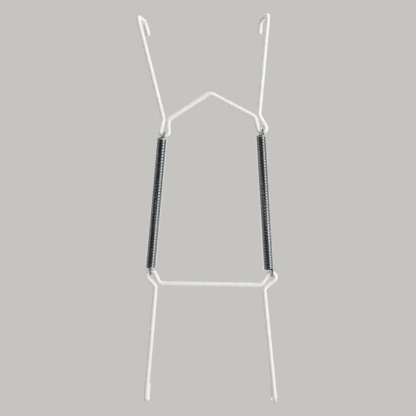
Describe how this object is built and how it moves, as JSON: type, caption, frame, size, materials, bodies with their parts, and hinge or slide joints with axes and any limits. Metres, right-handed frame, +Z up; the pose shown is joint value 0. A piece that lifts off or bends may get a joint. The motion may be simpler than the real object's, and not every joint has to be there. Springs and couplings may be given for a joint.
{
  "type": "wire plate hanger",
  "caption": "Sprung wire plate hanger: bent, coated wires linked by extension springs, with a peak that hangs on a nail and hooks that grip a plate's rim.",
  "frame": {"origin": "where the nail bears, on the underside of the upper wire's peak", "axes": "+Z up along the hanger, +X to the right seen from the wall, +Y from the wall towards the plate"},
  "size_m": [0.072, 0.0147, 0.1987],
  "materials": {
    "coated_wire": "satin white coating",
    "spring_steel": "dark, bright-drawn spring wire"
  },
  "bodies": {
    "upper_wire": {"upper_wire": "coated_wire"},
    "left_spring": {"left_spring": "spring_steel"},
    "right_spring": {"right_spring": "spring_steel"},
    "lower_wire": {"lower_wire": "coated_wire"}
  },
  "joints": [
    {"name": "upper_swing", "type": "hinge", "parent": "upper_wire", "child": "left_spring", "pos_m": [-0.02315, 0, -0.0204], "axis": [0.9994, 0, 0.0342], "range_deg": [-90, 90]},
    {"name": "spring_stretch", "type": "slide", "parent": "left_spring", "child": "right_spring", "axis": [0, 0, -1], "range_m": [0, 0.06], "stiffness_N_per_m": 950, "springref_m": -0.005, "deforming": ["left_spring", "right_spring"]},
    {"name": "lower_swing", "type": "hinge", "parent": "right_spring", "child": "lower_wire", "pos_m": [0.03078, 0, -0.09031], "axis": [0.9999, 0, -0.0135], "range_deg": [-90, 90]}
  ]
}
